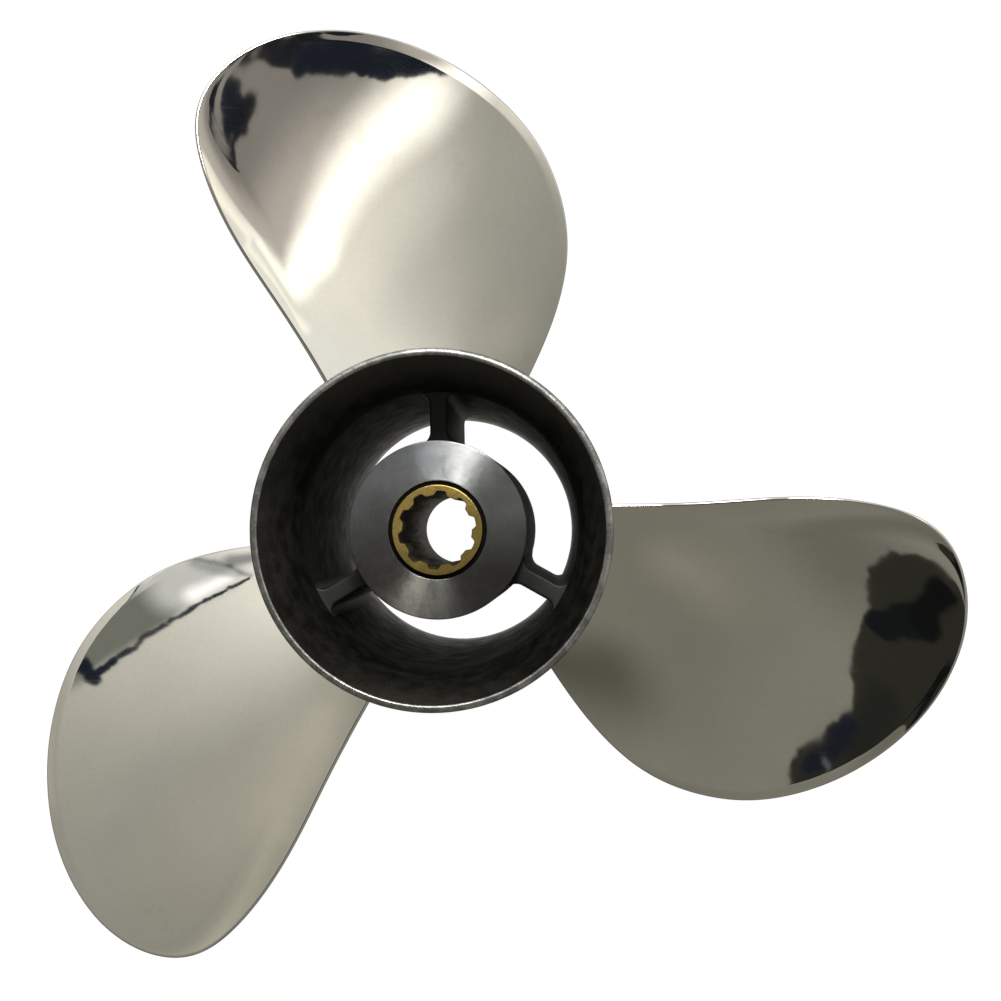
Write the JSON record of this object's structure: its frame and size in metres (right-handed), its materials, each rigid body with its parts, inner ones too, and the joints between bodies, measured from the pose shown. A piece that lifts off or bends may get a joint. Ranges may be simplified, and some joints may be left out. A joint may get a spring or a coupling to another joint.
{
  "type": "outboard boat propeller",
  "caption": "Polished stainless outboard propeller, right-hand, with cupped blades on a flared through-hub exhaust barrel and a splined brass sleeve held in a rubber bush.",
  "frame": {"origin": "on the shaft axis at the barrel's front end, the end that faces the gearcase", "axes": "+Z points aft along the shaft axis, towards the flared ring; +X and +Y lie across it, with the first rib near +Y"},
  "size_m": [0.2326, 0.2307, 0.1],
  "materials": {
    "polished_stainless": "mirror polished, warm silver",
    "cast_stainless": "dark satin casting skin",
    "machined_stainless": "turned face with fine circular marks",
    "black_rubber": "matte black",
    "brass": "filed, with diagonal scratches"
  },
  "bodies": {
    "root": {"barrel": "polished_stainless", "flared_ring": "polished_stainless", "inner_hub": "machined_stainless", "rib_1": "cast_stainless", "rib_2": "cast_stainless", "rib_3": "cast_stainless", "blade_1": "polished_stainless", "blade_2": "polished_stainless", "blade_3": "polished_stainless", "rubber_bush": "black_rubber", "splined_sleeve": "brass"}
  },
  "joints": []
}
